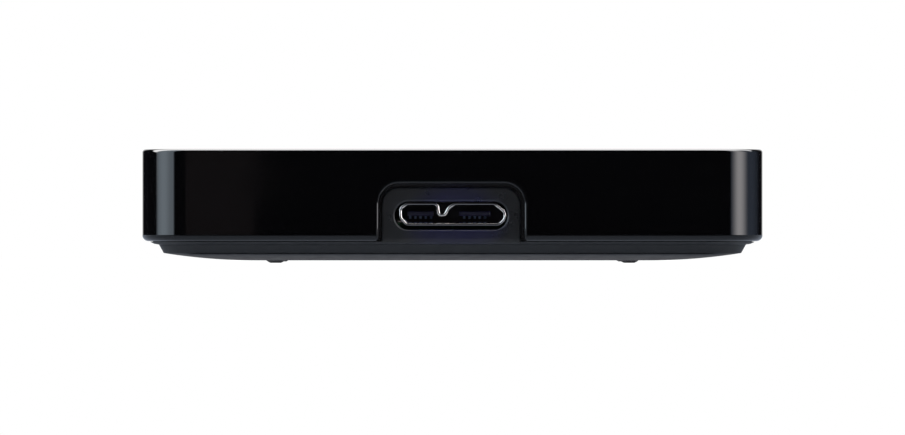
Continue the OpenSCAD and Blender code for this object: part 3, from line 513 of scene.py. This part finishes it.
# %% Bend the contacts
pitch, contact_w, contact_t = 0.65, 0.3, 0.12
contact_top = tongue_z - tongue_t / 2
tail_y, nose_y = socket_back + 0.9, shell_low.y + 1
side_view = [(nose_y, contact_top, 0), (nose_y + 0.25, contact_top - 0.36, 0.1),
             (nose_y + 0.75, contact_top - 0.36, 0.2), (nose_y + 1.3, contact_top - contact_t, 0.2),
             (tail_y - 0.2, contact_top - contact_t, 0.1), (tail_y - 0.2, board_top, 0),
             (tail_y, board_top, 0), (tail_y, contact_top, 0.2)]
strips, grooves = [], []
for x, _ in tongues:
    for i in range(-2, 3):
        for solids, grow in ((strips, 0.0), (grooves, 0.01)):
            bm = bmesh.new()
            end = outline(bm, side_view, 4)
            walk(bm, end, [(0, 0.03), (0, contact_w - 0.03), (-0.03, contact_w)])
            close(bm)
            bm.transform(Matrix.Translation((x + i * pitch - contact_w / 2, 0, 0))
                         @ Matrix(((0, 0, 1, 0), (1, 0, 0, 0), (0, 1, 0, 0), (0, 0, 0, 1))))
            solids.append(bm)
insulator = combine(insulator, gather(grooves), "DIFFERENCE")
insulator = piece("socket_insulator", insulator, "connector_insulator")
contacts = piece("socket_contacts", gather(strips), "connector_contacts")


# %% [markdown]
# ## Helpers for finishes
#
# A finish is a small tree of shader nodes. Two helpers keep such trees readable: `Wire` is a socket
# that Python's own signs work on, so `1 - mask` adds a Math node, and `Nodes.add` makes any other
# node from its type, its settings and what goes into its sockets.

# %% Arithmetic on sockets
class Wire:
    """An output socket that can be added, taken away, multiplied and divided."""

    def __init__(self, nodes, socket):
        self.nodes, self.socket = nodes, socket

    def maths(self, operation, *values):
        return self.nodes.add("Math", {"operation": operation}, dict(enumerate(values)))

    def __add__(self, other):
        return self.maths("ADD", self, other)

    def __sub__(self, other):
        return self.maths("SUBTRACT", self, other)

    def __rsub__(self, other):
        return self.maths("SUBTRACT", other, self)

    def __mul__(self, other):
        return self.maths("MULTIPLY", self, other)

    def __truediv__(self, other):
        return self.maths("DIVIDE", self, other)

    __radd__, __rmul__ = __add__, __mul__


# %% One method for every node
class Nodes:
    """A node tree, for a material or the world."""

    def __init__(self, owner):
        owner.use_nodes = True
        self.tree = owner.node_tree
        self.tree.nodes.clear()

    def add(self, kind, settings=None, sockets=None, output=0):
        """Adds a node: its settings first, then the values or wires of its sockets."""
        node = self.tree.nodes.new("ShaderNode" + kind)
        for name, value in (settings or {}).items():
            if name == "stops":
                self.set_stops(node.color_ramp, value)
            else:
                setattr(node, name, value)
        for name, value in (sockets or {}).items():
            socket = self.find(node.inputs, name)
            if isinstance(value, Wire):
                self.tree.links.new(value.socket, socket)
            else:
                socket.default_value = value
        return Wire(self, self.find(node.outputs, output)) if node.outputs else node

    @staticmethod
    def find(sockets, name):
        """A socket by its place, or the first one in use that has the name."""
        used = [socket for socket in sockets if socket.enabled]
        return used[name] if isinstance(name, int) else next(s for s in used if s.name == name)

    @staticmethod
    def set_stops(ramp, stops):
        while len(ramp.elements) < len(stops):
            ramp.elements.new(1.0)
        for element, (place, colour) in zip(ramp.elements, stops):
            element.position, element.color = place, colour

    def mix(self, factor, a, b):
        """A colour between a and b."""
        return self.add("Mix", {"data_type": "RGBA"}, {"Factor": factor, "A": a, "B": b}, "Result")

    def ease(self, value, low, high, start=0.0, end=1.0):
        """A value that eases from start at low to end at high."""
        return self.add("MapRange", {"interpolation_type": "SMOOTHSTEP"},
                        {"Value": value, "From Min": low, "From Max": high,
                         "To Min": start, "To Max": end})

    def split(self, vector):
        """The x, y and z of a vector."""
        first = self.add("SeparateXYZ", sockets={"Vector": vector})
        return [Wire(self, socket) for socket in first.socket.node.outputs]


def paint(red, green, blue):
    return (red, green, blue, 1.0)


# %% What all finishes share
class Finish(Nodes):
    """A material whose patterns are measured in millimetres on the object."""

    def __init__(self, name):
        self.material = bpy.data.materials.new(name)
        super().__init__(self.material)
        at = self.add("TexCoord", output="Object")
        self.place = self.add("Mapping", sockets={"Vector": at, "Scale": (1 / MM,) * 3})

    def stretched(self, x, y, z):
        """The place, with each axis drawn out so that a pattern turns into streaks."""
        return self.add("Mapping", sockets={"Vector": self.place, "Scale": (1 / x, 1 / y, 1 / z)})

    def noise(self, size, detail=2.0, place=None):
        """Smooth noise from 0 to 1 in blots of about the given size."""
        return self.add("TexNoise", sockets={"Vector": place or self.place, "Scale": 1 / size,
                                             "Detail": detail, "Roughness": 0.5})

    def cells(self, size, place=None):
        """Distance from 0 to 1 to the middle of the nearest of many scattered cells."""
        return self.add("TexVoronoi", {"feature": "F1"},
                        {"Vector": place or self.place, "Scale": 1 / size})

    def waves(self, pitch, axis, wobble=0.0):
        """Even lines from 0 to 1 across one axis, a pitch apart."""
        return self.add("TexWave", {"wave_type": "BANDS", "bands_direction": axis},
                        {"Vector": self.place, "Scale": math.pi / (5 * pitch),
                         "Distortion": wobble})

    def bump(self, height, depth, under=None):
        """A surface normal for a height from 0 to 1 that stands depth millimetres proud."""
        sockets = {"Height": height, "Distance": depth * MM, "Strength": 1.0}
        if under is not None:
            sockets["Normal"] = under
        return self.add("Bump", sockets=sockets)

    def surface(self, **sockets):
        """Ends the tree in a Principled shader. Underscores in a keyword stand for spaces."""
        named = {name.replace("_", " "): value for name, value in sockets.items()}
        shader = self.add("BsdfPrincipled", sockets=named)
        self.add("OutputMaterial", sockets={"Surface": shader})
        return self.material


# %% [markdown]
# ## The two finishes that show most
#
# The cover is black plastic, moulded in a polished tool: nearly black underneath, with a mirror-like
# skin that has a hint of waviness and a few faint handling marks. Its colour comes almost wholly
# from what it reflects.
#
# The tray is the same black plastic from a tool with a fine spark-eroded grain. The grain spreads
# the reflection, so the tray looks like a soft dark grey. The port panel is smoother and what lies
# behind its face smoother still: both mirror the dark room and look darker. Near the socket the
# tray's colour carries a painted navy glow, standing in for blue light round the port.

# %% Polished cover
cover_finish = Finish("polished black plastic")
marks = cover_finish.noise(7, 5, cover_finish.stretched(1, 2.4, 1))
waviness = cover_finish.bump(cover_finish.noise(9, 1), 0.002)
skin_grain = cover_finish.bump(cover_finish.noise(0.7, 2), 0.00012, waviness)
cover_finish.surface(Base_Color=paint(0.0005, 0.0005, 0.0006), Normal=skin_grain, IOR=1.5,
                     Roughness=cover_finish.ease(marks, 0.4, 0.8, 0.012, 0.028))

# %% Grained tray
tray_finish = Finish("grained black plastic")
x, y, z = tray_finish.split(tray_finish.place)
# Painted glow: near the socket the base colour turns navy, standing in for blue light round the port.
across, rise = (x - 0.4) / 6.4, (z - 5.0) / 5.2
painted_glow_near_socket = tray_finish.ease(across * across + rise * rise, 0.1, 1.3, 1.0, 0.0)
painted_glow_near_socket = painted_glow_near_socket * tray_finish.ease(y, front + 1.6, front + 2.2, 1.0, 0.0)
mottle = tray_finish.noise(1.5, 3)
plain = tray_finish.mix(mottle, paint(0.0050, 0.0057, 0.0070), paint(0.0070, 0.0080, 0.0095))
navy = paint(0.0040, 0.0045, 0.0200)
on_panel = tray_finish.ease(z, rim_z + 0.1, rim_z + 0.5)
recessed = tray_finish.ease(y, front + 1.25, front + 1.45) * on_panel
rough = tray_finish.ease(mottle, 0.3, 0.7, 0.52, 0.6) - on_panel * 0.25 - recessed * 0.18
grain = tray_finish.cells(0.16) * 0.7 + tray_finish.noise(0.07, 2) * 0.6
tray_finish.surface(Base_Color=tray_finish.mix(painted_glow_near_socket, plain, navy), IOR=1.5,
                    Roughness=rough,
                    Normal=tray_finish.bump(grain, 0.006))

# %% [markdown]
# ## Metal finishes
#
# The other metals differ in colour, roughness and the marks left by how they were made: cast metal
# is pebbly, rolled sheet has long streaks, turned parts have rings, and plating is smooth with tiny
# pits. The socket's shell has a function of its own, because its long edges carry painted shade, a
# darker colour than at its ends, and so have the turned parts.

# %% Metal
def metal(name, colour, roughness, mark, size, depth, variation=0.06, streaks=None):
    """A metal with one kind of mark on it, made by a method of Finish."""
    finish = Finish(name)
    place = finish.stretched(*streaks) if streaks else None
    pattern = finish.noise(size, 3, place) if mark == "noise" else finish.cells(size, place)
    cloud = finish.noise(6, 3)
    darker = paint(*[c * 0.86 for c in colour])
    return finish.surface(
        Base_Color=finish.mix(cloud, darker, paint(*colour)), Metallic=1.0,
        Roughness=finish.ease(pattern, 0.2, 0.8, roughness - variation, roughness + variation),
        Normal=finish.bump(pattern, depth))


# %% Plated shell
def plated_shell():
    """Nickel plating, bright on the ends of the mouth, with painted shade darkening its two long edges.
    """
    finish = Finish("nickel plating")
    z = finish.split(finish.place)[2]
    toward_painted_shade = finish.add("Math", {"operation": "ABSOLUTE"}, {0: z - socket_z})
    pits = finish.noise(0.25, 3)
    # Painted shade: away from the middle height the colour darkens, so the mouth's two long edges look
    # dim.
    return finish.surface(
        Base_Color=finish.mix(finish.ease(toward_painted_shade, 1.0, 1.25), paint(0.90, 0.86, 0.82),
                              paint(0.26, 0.25, 0.245)),
        Metallic=1.0, Roughness=finish.ease(pits, 0.2, 0.8, 0.11, 0.16),
        Normal=finish.bump(pits, 0.0006))


# %% Turned metal and the disk
def turned(name, colour, roughness, node, pitch, depth):
    """Metal with fine rings about the upright axis of a node, left by a lathe or a polisher."""
    finish = Finish(name)
    low, high = box_mm(node)
    middle = (low + high) / 2
    about = finish.add("Mapping", sockets={"Vector": finish.place, "Location": -middle})
    rings = finish.add("TexWave", {"wave_type": "RINGS", "rings_direction": "Z"},
                       {"Vector": about, "Scale": math.pi / (5 * pitch), "Distortion": 1.5,
                        "Detail": 2.0})
    return finish.surface(Base_Color=paint(*colour), Metallic=1.0,
                          Roughness=finish.ease(rings, 0, 1, roughness * 0.7, roughness * 1.3),
                          Normal=finish.bump(rings, depth))


# %% [markdown]
# ## Plastics, rubbers and the rest
#
# Moulded parts that aren't polished share one recipe, from hard glossy plastic to soft rubber: a
# base colour that varies a little, a grain, and a roughness. Films, foam, felt, the circuit board
# and the wound coils each get a pattern of their own.

# %% Moulded plastic and rubber
def moulded(name, colour, roughness, grain, depth, variation=0.15, **extra):
    """A moulded material with a fine grain of the given size and depth."""
    finish = Finish(name)
    cloud = finish.noise(grain * 12, 3)
    lighter = paint(*[c * (1 + variation) for c in colour])
    return finish.surface(
        Base_Color=finish.mix(cloud, paint(*colour), lighter),
        Roughness=finish.ease(cloud, 0.2, 0.8, roughness - 0.05, roughness + 0.05),
        Normal=finish.bump(finish.noise(grain, 3), depth), **extra)


def fibres(name, colour, light, size, depth):
    """Foam or felt: open cells or tangled fibres over the whole surface."""
    finish = Finish(name)
    tangle = finish.cells(size) * 0.6 + finish.noise(size * 0.4, 4) * 0.5
    return finish.surface(Base_Color=finish.mix(tangle, paint(*colour), paint(*light)),
                          Roughness=0.95, Normal=finish.bump(tangle, depth))


def board():
    """Green solder mask with the faint raised tracks of the copper beneath it."""
    finish = Finish("green solder mask")
    tracks = finish.add("TexBrick", {"offset": 0.5, "offset_frequency": 2},
                        {"Vector": finish.place, "Scale": 1.0, "Mortar Size": 0.08,
                         "Brick Width": 4.2, "Row Height": 0.7, "Mortar Smooth": 0.4}, "Fac")
    return finish.surface(
        Base_Color=finish.mix(tracks, paint(0.010, 0.075, 0.030), paint(0.020, 0.150, 0.060)),
        Roughness=0.35, Normal=finish.bump(tracks, 0.03))


def wound():
    """Enamelled copper wire in close turns."""
    finish = Finish("wound copper wire")
    turns = finish.waves(0.16, "Z", 0.3)
    return finish.surface(
        Base_Color=finish.mix(turns, paint(0.22, 0.07, 0.03), paint(0.62, 0.27, 0.13)),
        Metallic=0.85, Roughness=0.32, Normal=finish.bump(turns, 0.03))


# %% [markdown]
# The record names a material slot for every solid. This table gives each slot its finish, and the
# loop below hands it to the frame's own solids and to the finer pieces that stand for some of them.

# %% Choose a finish for every slot
finishes = {
    "gloss_cover": cover_finish.material,
    "matte_tray": tray_finish.material,
    "foot_rubber": moulded("foot rubber", (0.22, 0.22, 0.23), 0.72, 0.12, 0.008),
    "mount_rubber": moulded("mount rubber", (0.020, 0.020, 0.022), 0.80, 0.3, 0.02),
    "gasket_rubber": moulded("gasket rubber", (0.012, 0.012, 0.013), 0.65, 0.15, 0.01),
    "chip_black": moulded("chip epoxy", (0.016, 0.016, 0.018), 0.55, 0.1, 0.006),
    "white_plastic": moulded("white plastic", (0.72, 0.70, 0.64), 0.42, 0.4, 0.004, -0.06),
    "black_insulator": moulded("dark navy plastic", (0.002, 0.002, 0.012), 0.36, 0.2, 0.003),
    "black_film": moulded("black film", (0.010, 0.010, 0.011), 0.28, 1.5, 0.004),
    "amber_film": moulded("amber film", (0.42, 0.16, 0.02), 0.30, 1.0, 0.004),
    "capacitor": moulded("fired ceramic", (0.36, 0.22, 0.13), 0.45, 0.2, 0.006),
    "head_ceramic": moulded("ground ceramic", (0.06, 0.06, 0.065), 0.25, 0.1, 0.002),
    "led_lens": moulded("clear lens", (0.80, 0.84, 0.88), 0.12, 0.5, 0.001, -0.03,
                        Transmission_Weight=0.6),
    "foam": fibres("open foam", (0.020, 0.020, 0.022), (0.065, 0.065, 0.070), 0.5, 0.2),
    "filter_felt": fibres("filter felt", (0.55, 0.54, 0.50), (0.80, 0.79, 0.75), 0.35, 0.12),
    "board_green": board(),
    "copper_wire": wound(),
    "nickel_shell": plated_shell(),
    # The contacts' colour is painted dim and bluish: painted shade and blue light from deep inside the
    # socket.
    "plated_contacts": metal("tin plating painted dim blue", (0.15, 0.19, 0.29), 0.42, "noise", 0.1, 0.001),
    "cast_casing": moulded("black casting coat", (0.012, 0.012, 0.013), 0.5, 0.45, 0.02),
    "steel_plate": metal("rolled steel", (0.62, 0.62, 0.61), 0.32, "noise", 1, 0.003,
                         streaks=(0.15, 6, 1)),
    "screw_steel": metal("screw steel", (0.50, 0.50, 0.51), 0.30, "noise", 0.3, 0.003),
    "motor_steel": metal("motor steel", (0.44, 0.44, 0.45), 0.42, "noise", 1, 0.004,
                         streaks=(4, 0.3, 0.1)),
    "spring_steel": metal("spring steel", (0.66, 0.66, 0.65), 0.24, "noise", 1, 0.001,
                          streaks=(0.2, 4, 1)),
    "magnet": metal("plated magnet", (0.56, 0.56, 0.57), 0.28, "cells", 0.3, 0.004),
    "bronze": metal("sintered bronze", (0.55, 0.38, 0.19), 0.42, "cells", 0.12, 0.01),
    "turned_aluminium": turned("turned aluminium", (0.78, 0.79, 0.80), 0.28, "rotor_hub", 0.2, 0.004),
    "disk_mirror": turned("polished disk", (0.82, 0.81, 0.80), 0.05, "platter", 0.5, 0.0002),
}

pieces = {"top_cover": [cover], "bottom_case": [tray], "connector_shell": [shell],
          "connector_insulator": [insulator], "connector_contacts": [contacts]}
for foot in feet:
    pieces[foot.name.replace("_rubber", "")] = [foot]
for subpart in frame["record"]["subparts"]:
    material = finishes[subpart["material_slot"]]
    for made in [frame["nodes"][subpart["node"]]] + pieces.get(subpart["node"], []):
        made.data.materials.clear()
        made.data.materials.append(material)

# %% [markdown]
# ## The studio
#
# Gloss black shows only its surroundings, so the studio is drawn from the photograph's reflections:
# a dark room in front, a soft light to each side that the upright corners pick up, a faint warm
# card beside the camera, a bright band overhead that draws the thin line along the top edge, and a
# white backdrop behind. All of it is in the world, as brightness by direction. Azimuth is measured
# round from the camera, and pitch from the camera's side up over the top. To the camera the world is
# plain white.

# %% Light from all round
world = bpy.data.worlds.new("studio")
bpy.context.scene.world = world
sky = Nodes(world)
toward = sky.add("TexCoord", output="Generated")
east, north, up = sky.split(toward)
degrees = 180 / math.pi
azimuth = sky.add("Math", {"operation": "ARCTAN2"}, {0: east, 1: 0 - north}) * degrees
elevation = sky.add("Math", {"operation": "ARCSINE"}, {0: up}) * degrees
away = sky.add("Math", {"operation": "ABSOLUTE"}, {0: azimuth})


def window(value, rise_low, rise_high, fall_low, fall_high):
    """1 inside a range of angles and 0 outside it, with an easy slope at each end."""
    return sky.ease(value, rise_low, rise_high) * sky.ease(value, fall_low, fall_high, 1.0, 0.0)


low_down = window(elevation, -60, -50, 45, 62)
left_box = window(0 - azimuth, 42.5, 48, 84, 95) * window(elevation, -60, -50, 60, 78)
left_core = left_box * window(0 - azimuth, 50, 68, 72, 88)
right_box = window(azimuth, 43, 65, 66, 93) * low_down
right_glow = window(azimuth, 42, 47, 92, 140) * low_down
warm_card = window(0 - azimuth, 0.60, 0.62, 14, 22) * low_down
backdrop = sky.ease(away, 156, 160) * sky.ease(elevation, 30, 48, 1.0, 0.0)
pitch = sky.add("Math", {"operation": "ARCTAN2"}, {0: up, 1: 0 - north}) * degrees
overhead = window(pitch, 73, 79, 124, 134)

radiance = paint(0.014, 0.0135, 0.017)
radiance = sky.mix(overhead, radiance, paint(12.5, 12.4, 12.5))
radiance = sky.mix(warm_card, radiance, paint(0.100, 0.084, 0.088))
radiance = sky.mix(right_glow, radiance, paint(0.36, 0.44, 0.60))
radiance = sky.mix(left_box, radiance, paint(1.85, 2.15, 2.45))
radiance = sky.mix(left_core, radiance, paint(2.65, 3.10, 3.50))
radiance = sky.mix(right_box, radiance, paint(4.95, 4.80, 4.90))
radiance = sky.mix(backdrop, radiance, paint(1.0, 1.0, 1.0))
path_kind = [Wire(sky, socket) for socket in
             sky.add("LightPath", output="Is Camera Ray").socket.node.outputs]
seen = {wire.socket.name: wire for wire in path_kind}
direct = seen["Is Camera Ray"] + seen["Is Transmission Ray"]
lit = sky.add("Background", sockets={"Color": sky.mix(direct, radiance, paint(1, 1, 1))})
sky.add("OutputWorld", sockets={"Surface": lit})

# %% [markdown]
# The floor is a small white sheet. To the camera nearly all its light is its own, so it stays white
# and the shadow on it stays faint. Reflections see a glow of its own too: dim further out in front,
# brighter close to the port end, where the rim's roll mirrors it, and a little brighter under the
# belly. Everything else sees plain diffuse white. The sheet is small so that a reflection that looks
# down by only a degree or two still passes over its edge and finds the studio's lights.

# %% Floor
floor_mesh = bmesh.new()
half_floor = 0.12
bmesh.ops.create_grid(floor_mesh, x_segments=1, y_segments=1, size=half_floor)
floor_data = bpy.data.meshes.new("floor")
floor_mesh.to_mesh(floor_data)
floor_mesh.free()
floor = bpy.data.objects.new("floor", floor_data)
bpy.context.scene.collection.objects.link(floor)
floor_finish = Nodes(bpy.data.materials.new("white floor"))
straight = floor_finish.add("LightPath", output="Is Camera Ray")
mirrored = Wire(floor_finish, straight.socket.node.outputs["Is Glossy Ray"])
through = Wire(floor_finish, straight.socket.node.outputs["Is Transmission Ray"])
plain_white = floor_finish.add("BsdfDiffuse", sockets={"Color": paint(0.8, 0.8, 0.8)})
floor_x, floor_y, _ = floor_finish.split(floor_finish.add("TexCoord", output="Object"))
floor_x = floor_finish.add("Math", {"operation": "ABSOLUTE"}, {0: floor_x})
near = floor_finish.ease(floor_y, -0.072, -0.058)
under = floor_finish.ease(floor_y, -0.0525, -0.047)
under = under * floor_finish.ease(floor_x, 0.034, 0.0375, 1.0, 0.0)
reflected = floor_finish.mix(near, paint(0.06, 0.065, 0.075), paint(0.43, 0.48, 0.57))
reflected = floor_finish.mix(under, reflected, paint(0.50, 0.515, 0.565))
glow = floor_finish.mix(mirrored, paint(1.05, 1.05, 1.05), reflected)
own_light = floor_finish.add("Emission", sockets={"Color": glow, "Strength": 1.0})
mixed = floor_finish.add("MixShader", sockets={
    0: (straight + through) * 0.95 + mirrored, 1: plain_white, 2: own_light})
floor_finish.add("OutputMaterial", sockets={"Surface": mixed})
floor_data.materials.append(bpy.data.materials["white floor"])

# %% [markdown]
# ## Finish
#
# The colours above are meant to be seen as written, so the view transform is the plain one.

# %% Set the view transform
bpy.context.scene.view_settings.view_transform = "Standard"
